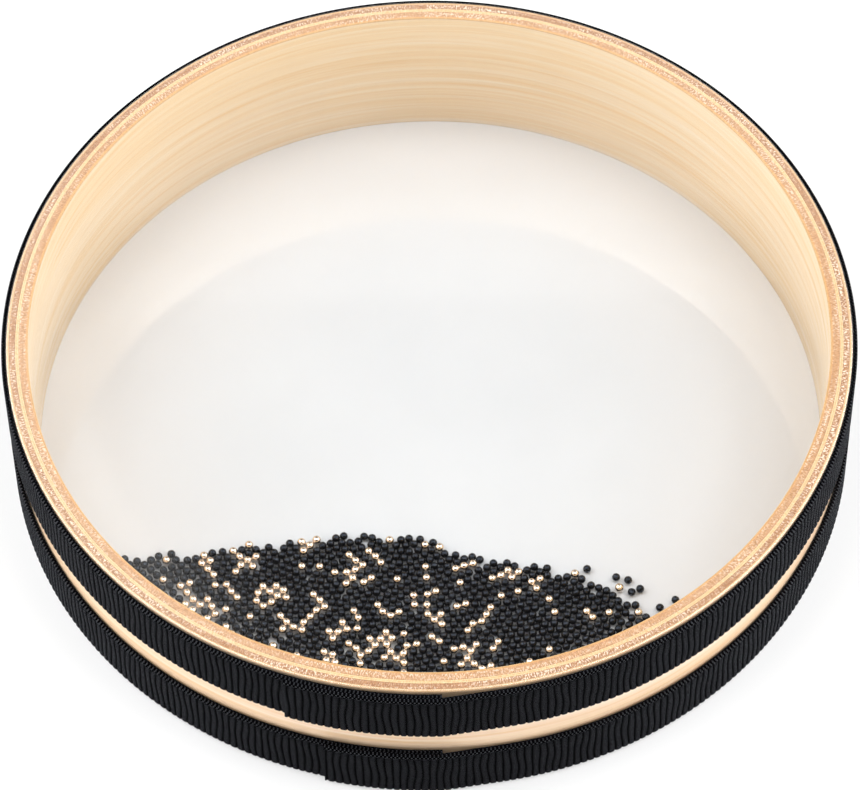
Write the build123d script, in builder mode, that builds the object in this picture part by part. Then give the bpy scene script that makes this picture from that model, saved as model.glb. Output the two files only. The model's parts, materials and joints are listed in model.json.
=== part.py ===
"""Ocean drum: a plywood frame with a clear head, a white head, two webbing bands and loose beads.

The origin is at the middle of the underside, +Z is up, and the bead pile lies at the front, towards -Y.
"""

import heapq
import math
import os
import random

from build123d import *

# Frame: two hoops of three plies each, in millimetres
hoop_diameter = 254.0
hoop_height = 52.5
outer_face_veneer = 0.9
outer_core = 1.7
outer_back_veneer = 0.5
inner_back_veneer = 0.5
inner_core = 2.25
inner_face_veneer = 0.4
glue_line = 0.05
edge_round = 0.6

# Heads: films folded over the rounded edges of the frame
clear_film = 0.25
white_film = 0.25
head_skirt = 18.0

# Bands: webbing wound once round each skirt, with lapped ends
band_width = 20.0
band_thickness = 1.2
band_margin = 1.0
lap_gap = 0.05
lap_start = 1.0
upper_lap = 20.5
lower_lap = 15.5

# Beads
black_diameter = 2.45
steel_diameter = 2.75
bead_gap = 0.05
bead_slack = 0.015
wall_gap = 0.3
head_gap = 0.15
shuffle = 13

# Beads lie a little looser towards the wall
wall_slack = 0.5
wall_zone = 35.0

# Rear edge of the bead pile, as x and the distance behind the front wall
crest = [
    (-110, 68.5),
    (-92, 73),
    (-40, 79),
    (-4, 79.8),
    (14, 71),
    (27, 70),
    (50, 60),
    (62, 53),
    (85, 36),
    (110, 10),
]
crest_ragged = 1.6

# Steel beads gather round one spot of the pile, and next to other steel beads
steel_spot = (-48.0, 38.0)
steel_spread = (56.0, 42.0)
steel_share = (0.10, 0.30)
steel_company = (0.8, 1.7)

# Flanks of the pile that run along the wall, as degrees from the front
left_flank = 42.0
right_flank = 36.0

# Loose part of the crest
crest_span = (-30.0, 8.0)
crest_depth = 7.0

# Beads that lie apart to the right of the crest: kind, x and the distance behind the front wall
strays = [
    ("steel", 43.1, 65.3),
    ("black", 46.8, 67.1),
    ("black", 55.5, 64.0),
    ("black", 59.1, 62.9),
    ("black", 62.6, 59.7),
    ("black", 68.3, 52.9),
    ("black", 73.1, 55.6),
]
outliers = [
    ("steel", 56.3, 60.1),
    ("black", 60.0, 58.6),
    ("black", 61.0, 53.9),
]

# Sizes that follow
hoop_radius = hoop_diameter / 2
plies = {
    "outer_hoop_face_veneer": outer_face_veneer,
    "outer_hoop_core": outer_core,
    "outer_hoop_back_veneer": outer_back_veneer,
    "inner_hoop_back_veneer": inner_back_veneer,
    "inner_hoop_core": inner_core,
    "inner_hoop_face_veneer": inner_face_veneer,
}
wall = sum(plies.values()) + glue_line * (len(plies) - 1)
inner_radius = hoop_radius - wall
hoop_bottom = white_film
hoop_top = hoop_bottom + hoop_height
drum_height = hoop_top + clear_film
skirt_radius = hoop_radius + glue_line
band_radius = skirt_radius + max(clear_film, white_film) + glue_line
bead_floor = white_film + head_gap
bead_radius = {"black": black_diameter / 2, "steel": steel_diameter / 2}
front_wall = -inner_radius

os.makedirs("parts", exist_ok=True)


def polar(radius, angle):
    """Point in plan at a radius and an angle in degrees."""
    return (radius * math.cos(math.radians(angle)), radius * math.sin(math.radians(angle)))


def finish(part, label):
    """Names a piece and writes it."""
    part.label = label
    export_step(part, f"parts/{label}.step")


def make_plies():
    """The six rings of the frame, from the outside in."""
    radius = hoop_radius
    for label, thickness in plies.items():
        with BuildPart() as ply:
            with BuildSketch(Plane.XY.offset(hoop_bottom)):
                Circle(radius)
                Circle(radius - thickness, mode=Mode.SUBTRACT)
            extrude(amount=hoop_height)
            if radius == hoop_radius:
                rims = ply.edges().filter_by(GeomType.CIRCLE).group_by(SortBy.RADIUS)[-1]
                fillet(rims, radius=edge_round)
        finish(ply.part, label)
        radius -= thickness + glue_line


def make_head(label, film, level, up):
    """A film cup: a flat disc whose edge is folded over the frame, from its outer face at a level."""
    with BuildPart(Plane(origin=(0, 0, level), z_dir=(0, 0, up))) as head:
        Cylinder(skirt_radius + film, head_skirt, align=(Align.CENTER, Align.CENTER, Align.MAX))
        outward = Axis((0, 0, 0), (0, 0, up))
        fillet(head.edges().sort_by(outward)[-1], radius=edge_round + film)
        offset(amount=-film, openings=head.faces().sort_by(outward)[0])
    finish(head.part, label)


def make_band(label, bottom, lap):
    """Webbing that goes once round clockwise, leaves its own start at a tangent and laps over it."""
    lap_front = 270 + lap_start
    inside = band_radius
    outside = inside + band_thickness
    lap_inside = outside + lap_gap
    lap_outside = lap_inside + band_thickness
    rise = math.degrees(math.acos(inside / lap_inside))
    leave = lap_front + rise
    rise_outside = math.degrees(math.acos(outside / lap_outside))
    lap_end = lap_front - lap
    with BuildPart() as band:
        with BuildSketch(Plane.XY.offset(bottom)):
            with BuildLine():
                CenterArc((0, 0), inside, lap_front, rise - 360)
                Line(polar(inside, leave), polar(lap_inside, lap_front))
                CenterArc((0, 0), lap_inside, lap_front, -lap)
                Line(polar(lap_inside, lap_end), polar(lap_outside, lap_end))
                CenterArc((0, 0), lap_outside, lap_end, lap + rise - rise_outside)
                Line(polar(lap_outside, leave - rise_outside), polar(outside, leave))
                CenterArc((0, 0), outside, leave, 360 - rise)
                Line(polar(outside, lap_front), polar(inside, lap_front))
            make_face()
        extrude(amount=band_width)
    finish(band.part, label)


class Pile:
    """Beads in one layer, found by their cell of a square grid."""

    def __init__(self):
        self.cell = max(black_diameter, steel_diameter) + bead_gap + 2 * wall_slack
        self.grid = {}
        self.beads = []

    def near(self, x, y, cells=1):
        column, row = math.floor(x / self.cell), math.floor(y / self.cell)
        for i in range(column - cells, column + cells + 1):
            for j in range(row - cells, row + cells + 1):
                yield from self.grid.get((i, j), ())

    def is_free(self, x, y, room):
        inside = math.hypot(x, y) <= inner_radius - wall_gap - room + 1e-6
        return inside and all(
            math.hypot(x - bead[0], y - bead[1]) >= room + bead[2] - 1e-6 for bead in self.near(x, y)
        )

    def add(self, x, y, room, kind):
        bead = (x, y, room, kind)
        self.beads.append(bead)
        self.grid.setdefault((math.floor(x / self.cell), math.floor(y / self.cell)), []).append(bead)
        return bead


def touching_both(a, a_reach, b, b_reach):
    """The two points at a_reach from a and b_reach from b, where there are any."""
    dx, dy = b[0] - a[0], b[1] - a[1]
    apart = math.hypot(dx, dy)
    if apart == 0 or apart > a_reach + b_reach or apart < abs(a_reach - b_reach):
        return []
    along = (a_reach**2 - b_reach**2 + apart**2) / (2 * apart)
    aside = math.sqrt(max(a_reach**2 - along**2, 0))
    ux, uy = dx / apart, dy / apart
    foot = (a[0] + along * ux, a[1] + along * uy)
    return [(foot[0] - aside * uy, foot[1] + aside * ux), (foot[0] + aside * uy, foot[1] - aside * ux)]


def crest_at(x):
    """Rear edge of the pile at x, straight between the crest's points."""
    for (x0, d0), (x1, d1) in zip(crest, crest[1:]):
        if x0 <= x <= x1:
            return front_wall + d0 + (d1 - d0) * (x - x0) / (x1 - x0)
    return front_wall


def settle_beads():
    """The pile: each bead runs to the foremost spot where it rests on two others or on the wall."""
    chance = random.Random(shuffle)
    pile = Pile()

    def spots_beside(bead):
        others = [other for other in pile.near(bead[0], bead[1], 2) if other is not bead]
        for other in [*others, None]:
            beside_steel = "steel" in (bead[3], other and other[3])
            share = steel_share[0] + steel_share[1] * math.exp(
                -(((bead[0] - steel_spot[0]) / steel_spread[0]) ** 2)
                - ((bead[1] - front_wall - steel_spot[1]) / steel_spread[1]) ** 2
            )
            kind = "steel" if chance.random() < share * steel_company[beside_steel] else "black"
            behind = inner_radius - math.hypot(bead[0], bead[1])
            loose = max(bead_slack, wall_slack * (1 - behind / wall_zone))
            room = bead_radius[kind] + bead_gap / 2 + chance.uniform(0, loose)
            if other is None:
                held_by, reach = (0, 0), inner_radius - wall_gap - room
            else:
                held_by, reach = other, other[2] + room
            for x, y in touching_both(bead, bead[2] + room, held_by, reach):
                yield x, y, room, kind

    for kind, x, behind in strays + outliers:
        pile.add(x, front_wall + behind, bead_radius[kind] + bead_gap / 2, kind)
    first_room = bead_radius["black"] + bead_gap / 2
    spots = [(front_wall + wall_gap + first_room, 0.0, first_room, "black")]
    while spots:
        y, x, room, kind = heapq.heappop(spots)
        if not pile.is_free(x, y, room):
            continue
        bead = pile.add(x, y, room, kind)
        for x, y, room, kind in spots_beside(bead):
            if y < crest_at(x) + chance.uniform(-crest_ragged, crest_ragged) and pile.is_free(x, y, room):
                heapq.heappush(spots, (y, x, room, kind))
    return pile.beads


def group_beads(beads):
    """Shares out the pile: flanks by their angle from the front, and the crest with what lies behind it."""
    groups = {"centre": [], "left": [], "right": [], "crest": []}
    for bead in beads:
        from_front = math.degrees(math.atan2(bead[0], -bead[1]))
        if from_front < -left_flank:
            groups["left"].append(bead)
        elif from_front > right_flank:
            groups["right"].append(bead)
        else:
            groups["centre"].append(bead)

    def in_crest(bead):
        return crest_span[0] < bead[0] < crest_span[1] and bead[1] > crest_at(bead[0]) - crest_depth

    joining = [bead for bead in groups["centre"] if in_crest(bead)]
    while joining:
        groups["crest"] += joining
        groups["centre"] = [bead for bead in groups["centre"] if bead not in joining]
        joining = [
            bead
            for bead in groups["centre"]
            if any(abs(bead[0] - c[0]) < bead[2] + c[2] and bead[1] > c[1] for c in groups["crest"])
        ]
    return groups


def make_beads(label, kind, spots):
    """Balls of one kind that stand on the white head."""
    radius = bead_radius[kind]
    with BuildPart() as balls:
        with Locations(*[(x, y, bead_floor + radius) for x, y in spots]):
            Sphere(radius)
    finish(balls.part, label)


make_plies()
make_head("clear_head", clear_film, drum_height, 1)
make_head("white_head", white_film, 0, -1)
make_band("upper_band", drum_height - band_margin - band_width, upper_lap)
make_band("lower_band", band_margin, lower_lap)

pile = settle_beads()
for number, (kind, x, behind) in enumerate(strays, start=1):
    make_beads(f"stray_bead_{number}", kind, [(x, front_wall + behind)])
for place, group in group_beads(pile[len(strays):]).items():
    for kind in bead_radius:
        make_beads(f"{kind}_beads_{place}", kind, [bead[:2] for bead in group if bead[3] == kind])
    print(place, len(group), "beads,", sum(bead[3] == "steel" for bead in group), "of steel")
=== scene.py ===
"""Looks of an ocean drum: ply rings, films, ribbed webbing and beads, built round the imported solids."""

import json
import math

import bpy
import numpy as np
from mathutils import Matrix, Vector


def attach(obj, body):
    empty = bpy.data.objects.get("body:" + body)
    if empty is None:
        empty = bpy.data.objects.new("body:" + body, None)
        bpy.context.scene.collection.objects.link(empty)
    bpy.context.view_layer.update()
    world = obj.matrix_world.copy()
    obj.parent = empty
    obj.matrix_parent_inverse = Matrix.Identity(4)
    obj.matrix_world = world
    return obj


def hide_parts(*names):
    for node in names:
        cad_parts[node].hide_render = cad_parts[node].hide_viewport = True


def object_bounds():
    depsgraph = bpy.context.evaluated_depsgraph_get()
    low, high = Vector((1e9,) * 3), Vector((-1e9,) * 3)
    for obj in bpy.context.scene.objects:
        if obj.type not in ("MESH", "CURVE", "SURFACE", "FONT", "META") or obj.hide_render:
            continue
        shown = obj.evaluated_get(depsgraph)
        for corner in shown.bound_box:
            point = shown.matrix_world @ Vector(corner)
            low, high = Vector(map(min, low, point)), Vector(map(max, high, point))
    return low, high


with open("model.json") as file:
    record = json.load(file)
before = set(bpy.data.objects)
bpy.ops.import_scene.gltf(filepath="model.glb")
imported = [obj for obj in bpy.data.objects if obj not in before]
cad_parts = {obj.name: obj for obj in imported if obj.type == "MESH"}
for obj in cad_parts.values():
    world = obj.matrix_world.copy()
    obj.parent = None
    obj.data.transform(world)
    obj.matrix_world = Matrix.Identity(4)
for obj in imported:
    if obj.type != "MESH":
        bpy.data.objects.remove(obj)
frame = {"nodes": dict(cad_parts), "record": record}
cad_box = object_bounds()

MM = 0.001

# Camera, fitted to the photograph's rim and lower edge
IMAGE_WIDTH = 860
FOCAL_PIXELS = 4733.0
SENSOR = 36.0
VIEW_ELEVATION = 54.372
VIEW_DISTANCE = 1.4215
VIEW_PITCH = 0.80
VIEW_ROLL = -0.806

# Roundness of turned pieces and balls
TURN_STEPS = 384
BALL_ROWS = 7
BALL_COLUMNS = 12
BALL_SWELL = 1.04

# Plies and films
HOOP_RADIUS = 0.125
PLY_EASE = 0.1 * MM
FILM = 0.2 * MM
FOLD = 0.6 * MM
FILM_INDEX = 1.44

# Webbing
RIB_PITCH = 2.15 * MM
RIB_DEPTH = 0.3 * MM
RIB_STEPS = 11
RIB_SWAY = 0.24 * MM
RIB_SHARPNESS = 10
THREAD_PITCH = 0.00055
SELVEDGE = 2.2 * MM
SEAM_DEPTH = 0.22 * MM
KNOT_PITCH = 1.18 * MM
SCALLOP = 0.22 * MM
BAND_THICKNESS = 1.2 * MM
BAND_EDGE = 0.35 * MM
BAND_ROWS = 10
LAP_FRONT = 271
LAP_GAP = 0.05 * MM
UPPER_LAP = 20.5
LOWER_LAP = 15.5

# Beads with a moulding tip
TIP_SHARE = 0.035
TIP_LENGTH = 0.55

# Lamps: degrees round from the front and up, then distance, width, height in metres and glow
PAIRED_LAMPS = {
    "side": (90, 40, 1.6, 2.0, 1.4, 2.55),
    "low": (97, 8, 1.0, 1.2, 0.16, 8.0),
    "top": (78, 69, 1.75, 1.2, 0.8, 3.5),
    "rear": (145, 22, 1.8, 1.3, 0.8, 1.3),
}
SINGLE_LAMPS = {
    "overhead": (0, 90, 1.7, 1.4, 0.9, 1.75),
    "back": (180, 48, 2.0, 1.1, 0.34, 0.6),
    "haze": (211, 57, 2.0, 0.75, 0.6, 0.9),
}
SURROUND = 0.04
FLOOR_HALF = 40.0

SHELL = "drum_shell"
HOOP_FACE = "outer_hoop_face_veneer"


def srgb(red, green, blue):
    """A colour given as 0 to 255 on screen, as linear light with an alpha of 1."""
    part = np.array([red, green, blue]) / 255
    linear = np.where(part <= 0.04045, part / 12.92, ((part + 0.055) / 1.055) ** 2.4)
    return (*linear.tolist(), 1.0)


class Finish:
    """A node material while it is put together."""

    def __init__(self, name):
        self.material = bpy.data.materials.new(name)
        self.material.use_nodes = True
        self.tree = self.material.node_tree
        self.shader = self.tree.nodes["Principled BSDF"]
        self.output = self.tree.nodes["Material Output"]

    def add(self, kind, inputs=None, **settings):
        """A node whose inputs are plain values or links from other nodes' outputs."""
        node = self.tree.nodes.new(kind)
        for key, value in settings.items():
            setattr(node, key, value)
        self.put(node, inputs or {})
        return node

    def put(self, node, inputs):
        for key, value in inputs.items():
            if isinstance(value, bpy.types.NodeSocket):
                self.tree.links.new(value, node.inputs[key])
            else:
                node.inputs[key].default_value = value

    def look(self, **inputs):
        """Sets the main shader's sockets, with words joined by underscores."""
        self.put(self.shader, {key.replace("_", " "): value for key, value in inputs.items()})

    def place(self, scale=(1, 1, 1), source="Object"):
        """Coordinates of the piece, stretched by a scale."""
        coordinates = self.add("ShaderNodeTexCoord").outputs[source]
        return self.add("ShaderNodeMapping", {"Vector": coordinates, "Scale": scale}).outputs[0]

    def around(self, along, across, up):
        """Coordinates by the length round the hoop, the distance from its axis and the height, scaled."""
        split = self.add("ShaderNodeSeparateXYZ", {0: self.place()}).outputs
        back = self.math("MULTIPLY", split["Y"], -1.0)
        turn = self.math("ARCTAN2", split["X"], back)
        length = self.math("MULTIPLY", turn, HOOP_RADIUS * along)
        away = self.math("MULTIPLY", self.away((1, 1, 0)), across)
        parts = {0: length, 1: away, 2: self.math("MULTIPLY", split["Z"], up)}
        return self.add("ShaderNodeCombineXYZ", parts).outputs[0]

    def away(self, scale):
        """Distance from the origin, or from the drum's axis where the height is scaled to nothing."""
        return self.add("ShaderNodeVectorMath", {0: self.place(scale)}, operation="LENGTH").outputs["Value"]

    def noise(self, place, scale, detail=4.0, roughness=0.55, distortion=0.0):
        inputs = {
            "Vector": place,
            "Scale": scale,
            "Detail": detail,
            "Roughness": roughness,
            "Distortion": distortion,
        }
        return self.add("ShaderNodeTexNoise", inputs).outputs[0]

    def ramp(self, value, *stops):
        """Colours or greys by place along a value from 0 to 1."""
        node = self.add("ShaderNodeValToRGB", {0: value})
        elements = node.color_ramp.elements
        for extra in stops[2:]:
            elements.new(extra[0])
        for element, (at, colour) in zip(elements, stops):
            element.position = at
            element.color = colour if hasattr(colour, "__len__") else (colour, colour, colour, 1)
        return node.outputs[0]

    def mix(self, share, first, second):
        """Second colour laid over the first by a share."""
        node = self.add("ShaderNodeMix", {0: share, 6: first, 7: second}, data_type="RGBA")
        return node.outputs[2]

    def math(self, operation, first, second=0.0):
        return self.add("ShaderNodeMath", {0: first, 1: second}, operation=operation).outputs[0]

    def range(self, value, low, high, start=0.0, end=1.0):
        """A value from start to end, spread between low and high."""
        inputs = {"Value": value, "From Min": start, "From Max": end, "To Min": low, "To Max": high}
        return self.add("ShaderNodeMapRange", inputs).outputs[0]

    def bump(self, height, distance, strength=1.0):
        inputs = {"Height": height, "Distance": distance, "Strength": strength}
        return self.add("ShaderNodeBump", inputs).outputs[0]


def pale_veneer(name, top, tones, end_dark, end_pale):
    """Pale veneer in three tones: fine streaks round the hoop, warm ones among them, a satin lacquer, and
    end grain along its upper edge.
    """
    f = Finish(name)
    streaks = f.noise(f.place((7, 7, 420)), 1.0, 5, 0.65, 0.3)
    fine = f.noise(f.place((34, 34, 2600)), 1.0, 4, 0.7)
    cloud = f.noise(f.place((9, 9, 45)), 1.0, 3)
    wood = f.ramp(streaks, *zip((0.30, 0.46, 0.68), tones))
    warm = f.ramp(f.noise(f.place((4, 4, 640)), 1.0, 3, 0.5, 0.6), (0.56, 0.0), (0.74, 0.5))
    wood = f.mix(warm, wood, srgb(234, 190, 126))
    dashes = f.ramp(fine, (0.55, 0.0), (0.75, 0.42))
    wood = f.mix(dashes, wood, srgb(224, 174, 108))
    wood = f.mix(f.range(cloud, 0.0, 0.22), wood, srgb(250, 217, 160))
    height = f.add("ShaderNodeSeparateXYZ", {0: f.place()}).outputs["Z"]
    upper = f.range(height, 0.0, 1.0, top - 0.7 * MM, top - 0.2 * MM)
    end_grain = f.noise(f.around(3000, 1200, 600), 1.0, 3)
    end_grain = f.ramp(end_grain, (0.3, end_dark), (0.7, end_pale))
    wood = f.mix(upper, wood, end_grain)
    f.look(
        Base_Color=wood,
        Roughness=f.range(fine, 0.36, 0.52),
        Normal=f.bump(fine, 0.00005),
        Coat_Weight=0.85,
        Coat_Roughness=0.2,
    )
    return f.material


def edge_ply(name, pale, middle, dark, fleck_share, line_radius):
    """Cut edge of a ply: fine end grain across it, pale flecks where the film holds off the wood, and a
    warm glue line at its inner radius.
    """
    f = Finish(name)
    grain = f.noise(f.around(3000, 1100, 600), 1.0, 4, 0.65)
    patches = f.noise(f.around(55, 55, 55), 1.0, 3)
    wood = f.ramp(grain, (0.30, dark), (0.50, middle), (0.70, pale))
    wood = f.mix(f.range(patches, 0.0, 0.3), wood, pale)
    strokes = f.ramp(f.noise(f.around(2500, 1100, 700), 1.0, 2, 0.5), (0.51, 0.0), (0.57, 1.0))
    where = f.ramp(f.noise(f.around(60, 600, 160), 1.0, 3, 0.6), (0.38, 0.1), (0.60, 1.0))
    flecks = f.math("MULTIPLY", f.math("MULTIPLY", strokes, where), fleck_share)
    wood = f.mix(flecks, wood, srgb(255, 244, 228))
    beside = f.range(f.away((1, 1, 0)), 0.75, 0.0, line_radius, line_radius + 0.4 * MM)
    wood = f.mix(beside, wood, srgb(230, 176, 116))
    f.look(
        Base_Color=wood,
        Roughness=f.range(grain, 0.42, 0.62),
        Normal=f.bump(grain, 0.00004),
    )
    return f.material


def clear_film():
    """Clear film: what lies behind shows through, and both its faces mirror by their angle, in faint waves.
    The film's index is turned over on the inner face, where light leaves the film.
    """
    f = Finish("clear_film")
    waves = f.noise(f.place((9, 9, 9)), 1.0, 2)
    dust = f.noise(f.place((240, 240, 240)), 1.0, 3)
    normal = f.bump(waves, 0.0001, 0.5)
    inner_face = f.add("ShaderNodeNewGeometry").outputs["Backfacing"]
    ratio = f.range(inner_face, FILM_INDEX, 1 / FILM_INDEX)
    share = f.add("ShaderNodeFresnel", {"IOR": ratio, "Normal": normal}).outputs[0]
    through = f.add("ShaderNodeBsdfTransparent", {"Color": (0.985, 0.985, 0.98, 1)}).outputs[0]
    gloss_inputs = {"Color": (1, 1, 1, 1), "Roughness": f.range(dust, 0.07, 0.11), "Normal": normal}
    gloss = f.add("ShaderNodeBsdfGlossy", gloss_inputs).outputs[0]
    blend = f.add("ShaderNodeMixShader", {0: share, 1: through, 2: gloss}).outputs[0]
    f.tree.nodes.remove(f.shader)
    f.put(f.output, {"Surface": blend})
    return f.material


def white_film():
    """White film: a glossy sheet with the faintest cloud in it, and a painted warm light towards its edge
    that evens out the shade near the wall.
    """
    f = Finish("white_film")
    cloud = f.noise(f.place((16, 16, 16)), 1.0, 3)
    fine = f.noise(f.place((900, 900, 900)), 1.0, 2)
    white = f.ramp(cloud, (0.3, srgb(208, 211, 216)), (0.7, srgb(213, 216, 221)))
    # Painted light: the colour turns a little warmer towards the edge, standing in for the light the wall
    # throws there and evening out its shade.
    painted_light_near_edge = f.range(f.away((1, 1, 0)), 0.0, 1.0, 0.06, 0.122)
    white = f.mix(painted_light_near_edge, white, srgb(212, 213, 217))
    f.look(
        Base_Color=white,
        Roughness=f.range(fine, 0.03, 0.05),
        Normal=f.bump(f.noise(f.place((11, 11, 11)), 1.0, 2), 0.0002, 0.4),
        Specular_IOR_Level=1.0,
    )
    return f.material


def webbing(top_edges):
    """Black ribbed webbing: fine slanting threads on the ribs of the mesh, dull grooves between them, and
    staggered rows of knots along the upper edge of each band.
    """
    f = Finish("webbing")
    split = f.add("ShaderNodeSeparateXYZ", {0: f.place((1, 1, 1), "UV")}).outputs
    full = 2 * math.pi
    lean = f.math("MULTIPLY", split["X"], full / (1.3 * RIB_PITCH))
    thread = f.math("SINE", f.math("ADD", f.math("MULTIPLY", split["Y"], full / THREAD_PITCH), lean))
    fuzz = f.noise(f.place((2600, 1100, 1), "UV"), 1.0, 4, 0.7)
    wear = f.noise(f.place((60, 160, 1), "UV"), 1.0, 3)
    height = f.math("ADD", f.range(thread, 0.15, 0.75), f.math("MULTIPLY", fuzz, 0.6))

    apart = [f.math("ABSOLUTE", f.math("SUBTRACT", split["Y"], top)) for top in top_edges]
    below = f.math("MINIMUM", *apart)
    edge = f.math("SUBTRACT", 1.0, f.range(below, 0.0, 1.0, 0.85 * SELVEDGE, SELVEDGE))
    row = f.math("MULTIPLY", below, full / SELVEDGE)
    column = f.math("MULTIPLY", split["X"], full / KNOT_PITCH)
    knots = f.math("MULTIPLY", f.math("SINE", column), f.math("COSINE", row))
    knots = f.range(knots, 0.0, 1.0, 0.1, 0.75)
    height = f.add("ShaderNodeMix", {0: edge, 2: height, 3: f.math("MULTIPLY", knots, 1.9)}).outputs[0]

    # Painted shade and painted highlight: the colour follows the weave's height, darker between the threads
    # and lighter on thread tops and on the knots.
    tone = f.ramp(height, (0.3, srgb(2, 2, 3)), (1.0, srgb(10, 10, 13)))
    tone = f.mix(f.range(wear, 0.0, 0.4), tone, srgb(6, 6, 8))
    crest = f.math("SUBTRACT", 1.0, f.add("ShaderNodeAttribute", attribute_name="groove").outputs["Fac"])
    f.look(
        Base_Color=tone,
        Roughness=f.range(fuzz, 0.5, 0.7),
        Normal=f.bump(height, 0.0002),
        Tangent=f.add("ShaderNodeTangent", direction_type="UV_MAP", uv_map="along_band").outputs[0],
        Anisotropic=0.8,
        Anisotropic_Rotation=0.25,
        Specular_IOR_Level=f.math("MULTIPLY", crest, f.range(height, 0.0, 0.6, 0.55, 1.15)),
        Specular_Tint=srgb(226, 232, 246),
        Sheen_Weight=f.math("MULTIPLY", crest, 0.24),
        Sheen_Roughness=0.08,
        Sheen_Tint=srgb(226, 232, 246),
    )
    return f.material


def black_bead():
    """Black moulded plastic with a satin skin."""
    f = Finish("black_bead")
    each = f.noise(f.place((260, 260, 260)), 1.0, 2)
    skin = f.noise(f.place((2400, 2400, 2400)), 1.0, 3)
    tone = f.ramp(each, (0.3, srgb(1, 1, 2)), (0.7, srgb(3, 3, 6)))
    f.look(
        Base_Color=tone,
        Roughness=f.range(skin, 0.14, 0.26),
        Normal=f.bump(skin, 0.00004),
        Specular_IOR_Level=0.48,
        Specular_Tint=srgb(214, 228, 255),
    )
    return f.material


def steel_bead():
    """Polished steel, a little different from ball to ball."""
    f = Finish("steel_bead")
    each = f.noise(f.place((260, 260, 260)), 1.0, 2)
    tone = f.ramp(each, (0.3, srgb(222, 208, 195)), (0.7, srgb(237, 226, 214)))
    f.look(
        Base_Color=tone,
        Metallic=1.0,
        Roughness=f.range(f.noise(f.place((1500, 1500, 1500)), 1.0, 3), 0.03, 0.08),
    )
    return f.material


def pale_floor():
    """Floor that is white far off and takes the drum's shadow near it, seen straight or in a reflection."""
    f = Finish("pale_floor")
    paths = f.add("ShaderNodeLightPath").outputs
    seen = f.math("MAXIMUM", paths["Is Camera Ray"], paths["Is Glossy Ray"])
    seen = f.math("MAXIMUM", seen, paths["Is Transmission Ray"])
    share = f.math("MULTIPLY", seen, f.range(f.away((1, 1, 1)), 0.5, 1.0, 0.25, 1.2))
    glow = f.add("ShaderNodeEmission", {"Color": (1, 1, 1, 1), "Strength": 1.0}).outputs[0]
    tone = f.mix(seen, srgb(250, 250, 250), srgb(236, 236, 236))
    f.look(Base_Color=tone, Roughness=0.9, Specular_IOR_Level=0.0)
    blend = f.add("ShaderNodeMixShader", {0: share, 1: f.shader.outputs[0], 2: glow}).outputs[0]
    f.put(f.output, {"Surface": blend})
    return f.material


def node_points(node):
    """Corners of a solid's mesh, as rows of x, y and z."""
    vertices = frame["nodes"][node].data.vertices
    points = np.empty(len(vertices) * 3, np.float32)
    vertices.foreach_get("co", points)
    return points.reshape(-1, 3).astype(float)


def ring_size(node):
    """Inner radius, outer radius, bottom and top of a round solid about the drum's axis."""
    points = node_points(node)
    radius = np.hypot(points[:, 0], points[:, 1])
    return radius.min(), radius.max(), points[:, 2].min(), points[:, 2].max()


def add_piece(name, points, faces, material, body, replaced, slot):
    """A smooth mesh that stands for one solid and rides on its body."""
    mesh = bpy.data.meshes.new(name)
    mesh.from_pydata(points.tolist(), [], faces)
    mesh.shade_smooth()
    mesh.materials.append(material)
    piece = bpy.data.objects.new(name, mesh)
    bpy.context.scene.collection.objects.link(piece)
    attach(piece, body)
    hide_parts(replaced)
    return piece


def arc(centre, radius, start, end, steps):
    """Points of an arc, as rows of two numbers, with angles in degrees."""
    angle = np.radians(np.linspace(start, end, steps))
    return np.stack([centre[0] + radius * np.cos(angle), centre[1] + radius * np.sin(angle)], 1)


def grid_quads(rows, columns, closed=False):
    """Faces of a grid of corners: its columns close on themselves, and its rows too where it is closed."""
    row, column = np.meshgrid(np.arange(rows if closed else rows - 1), np.arange(columns), indexing="ij")
    here, above = row * columns, (row + 1) % rows * columns
    beside = (column + 1) % columns
    return np.stack([here + column, here + beside, above + beside, above + column], -1).reshape(-1, 4)


def turned_ring(profile):
    """A closed outline of radius and height, carried once round the axis: x = r cos t, y = r sin t."""
    turn = np.linspace(0, 2 * math.pi, TURN_STEPS, endpoint=False)[:, None]
    radius, height = profile[:, 0], profile[:, 1]
    points = np.stack([radius * np.cos(turn), radius * np.sin(turn), height + 0 * turn], -1)
    quads = grid_quads(TURN_STEPS, len(profile), closed=True)[:, [0, 3, 2, 1]]
    return points.reshape(-1, 3), quads.tolist()


def turned_cup(profile):
    """An open outline that starts and ends on the axis, carried once round it, with a fan at each end."""
    inside = profile[1:-1]
    points, quads = turned_ring(inside)
    count = len(inside)
    quads = [quad for number, quad in enumerate(quads) if number % count != count - 1]
    first, last = len(points), len(points) + 1
    points = np.vstack([points, [0, 0, profile[0, 1]], [0, 0, profile[-1, 1]]])
    step = np.arange(TURN_STEPS)
    after = (step + 1) % TURN_STEPS
    start = np.stack([np.full_like(step, first), after * count, step * count], 1)
    end = np.stack([np.full_like(step, last), step * count + count - 1, after * count + count - 1], 1)
    return points, quads + start.tolist() + end.tolist()


def make_ply(node, material, slot, round_outer=0.0):
    """A ring of one ply, with its edges eased, or rounded on the outside."""
    inner, outer, bottom, top = ring_size(node)
    ease = PLY_EASE
    outer_round = max(round_outer, ease)
    profile = np.vstack(
        [
            arc((outer - outer_round, bottom + outer_round), outer_round, -90, 0, 7),
            arc((outer - outer_round, top - outer_round), outer_round, 0, 90, 7),
            arc((inner + ease, top - ease), ease, 90, 180, 3),
            arc((inner + ease, bottom + ease), ease, 180, 270, 3),
        ]
    )
    add_piece(node + "_ring", *turned_ring(profile), material, SHELL, node, slot)


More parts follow.
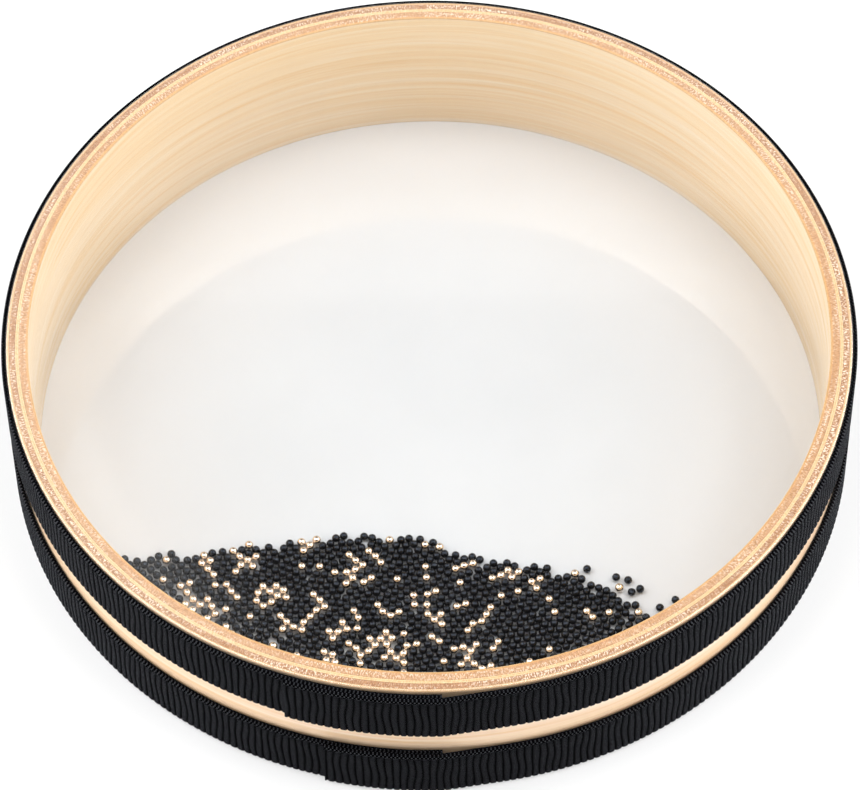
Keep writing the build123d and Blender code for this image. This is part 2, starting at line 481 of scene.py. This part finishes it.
def make_head(node, material, slot, up):
    """A film from the axis out over a rounded fold and down its skirt, and back on its other face."""
    outer, bottom, top = ring_size(node)[1:]
    flat, end = (top, bottom) if up > 0 else (bottom, top)
    middle = (outer - FOLD - FILM, flat - up * (FOLD + FILM))
    rings = np.linspace(0, middle[0], 24)
    face = np.stack([rings, np.full_like(rings, flat)], 1)
    back = np.stack([rings, np.full_like(rings, flat - up * FILM)], 1)[::-1]
    outside = arc(middle, FOLD + FILM, 90 * up, 0, 9)[1:]
    inside = arc(middle, FOLD, 0, 90 * up, 9)[:-1]
    profile = np.vstack([face, outside, [outer, end], [outer - FILM, end], inside, back])
    points, faces = turned_cup(profile)
    if up > 0:
        faces = [corners[::-1] for corners in faces]
    add_piece(node + "_film", points, faces, material, SHELL, node, slot)


def make_band(node, material, slot, lap):
    """Webbing in polar form: its inner face has one radius for a turn less the rise, then a straight
    tangent, whose radius is that divided by the cosine of the angle since it left, then the lap's radius.
    Ribs are grooves by the length along the band, swaying with the height, below a seam and a plain edge.
    The chart for its finish is the length along the band and the way across its outline, and each corner
    also says how far into a groove it lies.
    """
    inside, _, bottom, top = ring_size(node)
    lap, edge, thickness = math.radians(lap), BAND_EDGE, BAND_THICKNESS
    rise = math.acos(inside / (inside + thickness + LAP_GAP))
    full = 2 * math.pi
    steps = int((full + lap) * inside / RIB_PITCH * RIB_STEPS)
    turn = np.linspace(0, full + lap, steps)
    since = np.clip(turn - (full - rise), 0, rise)
    radius = inside / np.cos(since)
    length = np.concatenate([[0], np.cumsum((radius[1:] + radius[:-1]) / 2 * np.diff(turn))])

    seam = top - SELVEDGE
    rows = np.linspace(bottom + edge, seam - edge, BAND_ROWS)
    heights = np.append(rows, [seam, seam + edge, top - edge])
    outline = np.vstack(
        [
            [[0, bottom + edge / 2]],
            arc((thickness - edge, bottom + edge), edge, -90, -25, 3),
            np.stack([np.full_like(heights, thickness), heights], 1),
            arc((thickness - edge, top - edge), edge, 25, 90, 3),
            [[0, top - edge / 2]],
        ]
    )
    out, height = outline.T
    along = length[:, None]
    sway = np.sin(full * (along / 0.041 + height / 0.024))
    sway += 0.7 * np.sin(full * (along / 0.0137 - height / 0.015))
    rib = np.abs(np.cos(math.pi * (along + RIB_SWAY * sway) / RIB_PITCH)) ** RIB_SHARPNESS
    ribbed = (out / thickness) ** 2 * (height < seam)
    sunk = SEAM_DEPTH * np.exp(-(((height - seam) / edge) ** 2)) * (out > 0)
    low = np.clip((bottom + 2 * edge - height) / (2 * edge), 0, 1)
    distance = radius[:, None] + out - ribbed * RIB_DEPTH * rib - sunk
    level = height + low * SCALLOP * rib
    angle = math.radians(LAP_FRONT) - turn[:, None]
    points = np.stack([distance * np.cos(angle), distance * np.sin(angle), level], -1).reshape(-1, 3)

    count = len(outline)
    caps = [list(range(count))[::-1], list(range((steps - 1) * count, steps * count))]
    faces = grid_quads(steps, count).tolist() + caps
    piece = add_piece(node + "_webbing", points, faces, material, SHELL, node, slot)
    walked = np.concatenate([[0], np.cumsum(np.linalg.norm(np.diff(outline, axis=0), axis=1))])
    across = heights[0] + walked - walked[np.flatnonzero(height == heights[0])[0]]
    chart = np.stack([np.repeat(length, count), np.tile(across, steps)], 1)
    corners = np.empty(len(piece.data.loops), np.int32)
    piece.data.loops.foreach_get("vertex_index", corners)
    piece.data.uv_layers.new(name="along_band").data.foreach_set("uv", chart[corners].ravel())
    groove = piece.data.attributes.new("groove", "FLOAT", "POINT")
    groove.data.foreach_set("value", (ribbed * np.sqrt(rib)).ravel())


def unit_ball():
    """A ball by latitude and longitude with a point at each pole: corners and faces."""
    latitude = np.linspace(-math.pi / 2, math.pi / 2, BALL_ROWS)[1:-1, None]
    longitude = np.linspace(0, 2 * math.pi, BALL_COLUMNS, endpoint=False)
    rings = np.stack(
        [
            np.cos(latitude) * np.cos(longitude),
            np.cos(latitude) * np.sin(longitude),
            np.sin(latitude) + 0 * longitude,
        ],
        -1,
    ).reshape(-1, 3)
    quads = grid_quads(BALL_ROWS - 2, BALL_COLUMNS)
    column = np.arange(BALL_COLUMNS)
    beside = (column + 1) % BALL_COLUMNS
    south, north = len(rings), len(rings) + 1
    last = (BALL_ROWS - 3) * BALL_COLUMNS
    south_fan = np.stack([np.full_like(column, south), beside, column], 1)
    north_fan = np.stack([np.full_like(column, north), last + column, last + beside], 1)
    return np.vstack([rings, [[0, 0, -1], [0, 0, 1]]]), quads, np.vstack([south_fan, north_fan])


def random_turns(count, chance):
    """Rotation matrices spread evenly, from random unit quaternions."""
    turns = chance.normal(size=(count, 4))
    w, x, y, z = (turns / np.linalg.norm(turns, axis=1, keepdims=True)).T
    rows = [
        [1 - 2 * (y * y + z * z), 2 * (x * y - w * z), 2 * (x * z + w * y)],
        [2 * (x * y + w * z), 1 - 2 * (x * x + z * z), 2 * (y * z - w * x)],
        [2 * (x * z - w * y), 2 * (y * z + w * x), 1 - 2 * (x * x + y * y)],
    ]
    return np.array(rows).transpose(2, 0, 1)


def make_beads(node, material, slot, body, chance, tips):
    """Balls where the solids are: the highest point of each solid ball marks its middle."""
    solid = node_points(node)
    low, high = solid[:, 2].min(), solid[:, 2].max()
    radius = (high - low) / 2
    tops = solid[solid[:, 2] > high - 0.001 * radius]
    middles = np.unique(np.round(tops[:, :2], 5), axis=0)
    count = len(middles)
    ball, quads, fans = unit_ball()
    shapes = np.repeat(ball[None] * BALL_SWELL, count, 0)
    if tips:
        tipped = chance.random(count) < TIP_SHARE
        shapes[tipped, -1] *= 1 + TIP_LENGTH
    turned = np.einsum("nij,nkj->nki", random_turns(count, chance), shapes)
    points = turned * radius
    points[:, :, :2] += middles[:, None]
    points[:, :, 2] = np.maximum(points[:, :, 2] + low + radius, low)
    start = (np.arange(count) * len(ball))[:, None, None]
    faces = (quads + start).reshape(-1, 4).tolist() + (fans + start).reshape(-1, 3).tolist()
    add_piece(node + "_balls", points.reshape(-1, 3), faces, material, body, node, slot)


def make_drum():
    """All pieces of the drum."""
    line, _, _, top = ring_size("inner_hoop_core")
    cream = [srgb(243, 203, 146), srgb(248, 219, 174), srgb(252, 233, 205)]
    blush = [srgb(238, 192, 143), srgb(246, 210, 174), srgb(251, 227, 203)]
    inside = pale_veneer("pale_veneer", top, cream, srgb(206, 160, 107), srgb(228, 189, 135))
    lining = pale_veneer("pale_veneer_lining", top, cream, srgb(222, 180, 132), srgb(244, 218, 176))
    outside = pale_veneer("pale_veneer_outside", top, blush, srgb(204, 163, 121), srgb(230, 195, 156))
    brown = edge_ply("brown_ply", srgb(194, 151, 114), srgb(170, 123, 86), srgb(124, 79, 48), 0.85, 0.0)
    tan = edge_ply("tan_ply", srgb(208, 166, 127), srgb(188, 143, 103), srgb(144, 99, 61), 0.55, line)
    make_ply(HOOP_FACE, outside, "pale_veneer", FOLD)
    make_ply("outer_hoop_core", brown, "brown_ply")
    make_ply("outer_hoop_back_veneer", lining, "pale_veneer")
    make_ply("inner_hoop_back_veneer", lining, "pale_veneer")
    make_ply("inner_hoop_core", tan, "tan_ply")
    make_ply("inner_hoop_face_veneer", inside, "pale_veneer")

    make_head("clear_head", clear_film(), "clear_film", 1)
    make_head("white_head", white_film(), "white_film", -1)

    cloth = webbing([ring_size(node)[3] for node in ("upper_band", "lower_band")])
    make_band("upper_band", cloth, "webbing", UPPER_LAP)
    make_band("lower_band", cloth, "webbing", LOWER_LAP)

    chance = np.random.default_rng(5)
    finishes = {"black_bead": black_bead(), "steel_bead": steel_bead()}
    slots = {part["node"]: part["material_slot"] for part in frame["record"]["subparts"]}
    for body, nodes in frame["record"]["behaviour"]["bodies"].items():
        for node in nodes:
            slot = slots[node]
            if slot in finishes:
                make_beads(node, finishes[slot], slot, body, chance, slot == "black_bead")


def add_softbox(name, turn, rise, distance, width, height, glow):
    """A soft rectangular lamp that faces the drum: degrees round from the front and up, then its size in
    metres and how bright its face is.
    """
    turn, rise = math.radians(turn), math.radians(rise)
    away = Vector((math.sin(turn) * math.cos(rise), -math.cos(turn) * math.cos(rise), math.sin(rise)))
    lamp = bpy.data.lights.new(name, "AREA")
    lamp.shape = "RECTANGLE"
    lamp.size, lamp.size_y = width, height
    lamp.energy = math.pi * width * height * glow
    holder = bpy.data.objects.new(name, lamp)
    holder.location = away * distance
    holder.rotation_euler = away.to_track_quat("Z", "Y").to_euler()
    bpy.context.scene.collection.objects.link(holder)


def make_studio():
    """Floor, soft lamps and a dim even surround."""
    half = FLOOR_HALF
    corners = np.array([[-half, -half, 0], [half, -half, 0], [half, half, 0], [-half, half, 0]])
    mesh = bpy.data.meshes.new("floor")
    mesh.from_pydata(corners.tolist(), [], [[0, 1, 2, 3]])
    mesh.materials.append(pale_floor())
    floor = bpy.data.objects.new("floor", mesh)
    bpy.context.scene.collection.objects.link(floor)

    for side, word in ((-1, "left"), (1, "right")):
        for name, (turn, *rest) in PAIRED_LAMPS.items():
            add_softbox(name + "_" + word, side * turn, *rest)
    for name, setting in SINGLE_LAMPS.items():
        add_softbox(name, *setting)

    world = bpy.data.worlds.new("surround")
    world.use_nodes = True
    surround = world.node_tree.nodes["Background"].inputs
    surround["Color"].default_value = (1, 1, 1, 1)
    surround["Strength"].default_value = SURROUND
    scene = bpy.context.scene
    scene.world = world
    scene.view_settings.view_transform = "Standard"


def make_camera(top):
    """Camera on the front side, aimed near the middle of the upper rim and turned by small angles."""
    elevation, pitch, roll = (math.radians(a) for a in (VIEW_ELEVATION, VIEW_PITCH, VIEW_ROLL))
    back = Vector((0, -math.cos(elevation), math.sin(elevation)))
    right = Vector((1, 0, 0))
    up = back.cross(right)
    place = Vector((0, 0, top)) + back * VIEW_DISTANCE
    cos, sin = math.cos(pitch), math.sin(pitch)
    back, up = back * cos + up * sin, up * cos - back * sin
    cos, sin = math.cos(roll), math.sin(roll)
    right, up = right * cos + up * sin, up * cos - right * sin
    data = bpy.data.cameras.new("camera")
    data.sensor_width = SENSOR
    data.lens = FOCAL_PIXELS / IMAGE_WIDTH * SENSOR
    camera = bpy.data.objects.new("camera", data)
    camera.matrix_world = Matrix.Translation(place) @ Matrix((right, up, back)).transposed().to_4x4()
    bpy.context.scene.collection.objects.link(camera)
    bpy.context.scene.camera = camera


make_drum()
make_studio()
make_camera(cad_box[1].z)
